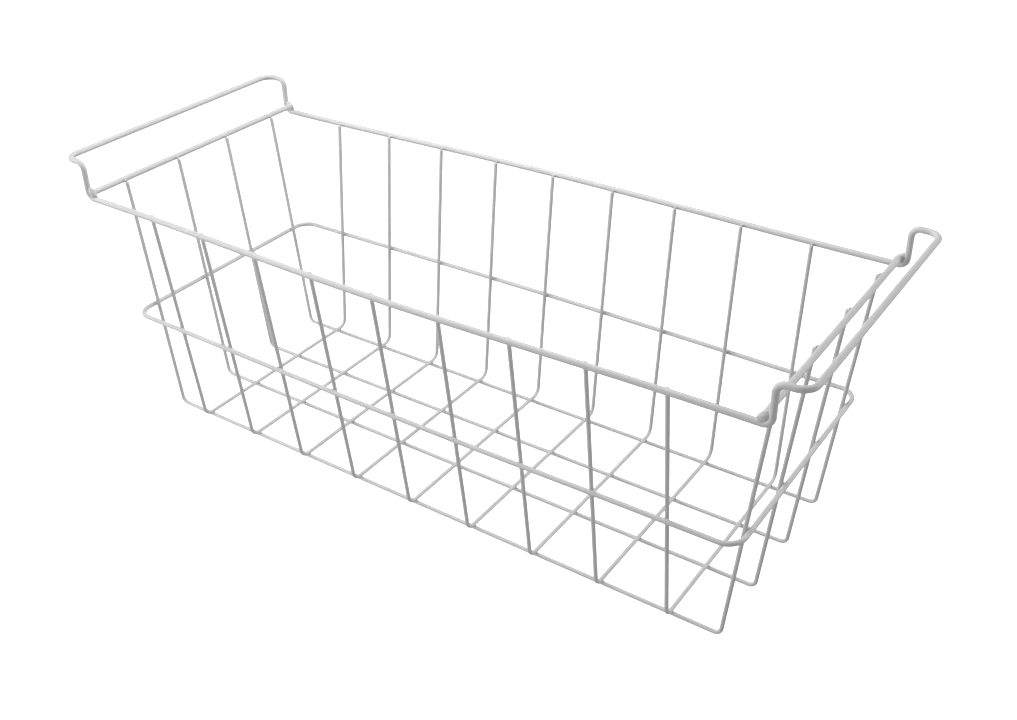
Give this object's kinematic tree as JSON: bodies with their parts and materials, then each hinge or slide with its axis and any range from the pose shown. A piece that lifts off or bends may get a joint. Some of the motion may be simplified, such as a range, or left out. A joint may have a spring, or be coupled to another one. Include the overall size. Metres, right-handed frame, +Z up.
{
  "type": "hanging wire freezer basket",
  "caption": "Deep rectangular basket of white coated wire, tapered towards its floor, with a hanger bar standing above and outside each end so that it hangs across an opening.",
  "frame": {"origin": "middle of the floor that the basket stands on, under its centre", "axes": "+X along the basket to its right end, +Y to its back rail, +Z up out of its mouth"},
  "size_m": [0.5602, 0.2182, 0.21],
  "materials": {
    "heavy_wire_coating": "smooth satin white coating over steel rod",
    "band_wire_coating": "smooth satin white coating over steel wire",
    "mesh_wire_coating": "smooth satin white coating over thin steel wire"
  },
  "bodies": {
    "root": {"rim_wire": "heavy_wire_coating", "left_end_bar": "heavy_wire_coating", "right_end_bar": "heavy_wire_coating", "cross_wire_1": "mesh_wire_coating", "cross_wire_2": "mesh_wire_coating", "cross_wire_3": "mesh_wire_coating", "cross_wire_4": "mesh_wire_coating", "cross_wire_5": "mesh_wire_coating", "cross_wire_6": "mesh_wire_coating", "cross_wire_7": "mesh_wire_coating", "cross_wire_8": "mesh_wire_coating", "cross_wire_9": "mesh_wire_coating", "long_wire_1": "mesh_wire_coating", "long_wire_2": "mesh_wire_coating", "long_wire_3": "mesh_wire_coating", "long_wire_4": "mesh_wire_coating", "band_ring": "band_wire_coating"}
  },
  "joints": []
}
